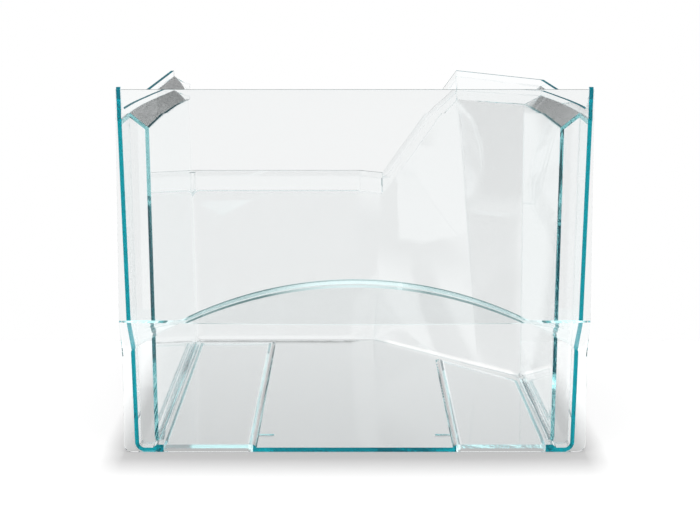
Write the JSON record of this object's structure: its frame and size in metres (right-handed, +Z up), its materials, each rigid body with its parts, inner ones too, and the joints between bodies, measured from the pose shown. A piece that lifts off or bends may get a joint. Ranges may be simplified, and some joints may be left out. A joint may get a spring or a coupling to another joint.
{
  "type": "crisper drawer",
  "caption": "Clear open-topped drawer with a flat front, arched finger recess, side ledges and rims, and a cut-off rear corner.",
  "frame": {"origin": "centre of the underside of the bounding box, on the surface that the drawer rests on", "axes": "+X to the right seen from the front, +Y from the front to the back, +Z up"},
  "size_m": [0.24, 0.3356, 0.1904],
  "materials": {
    "clear_plastic": "clear, polished, faint teal tint that shows where the plastic is seen edge on"
  },
  "bodies": {
    "root": {"bin": "clear_plastic", "front_panel": "clear_plastic"}
  },
  "joints": []
}
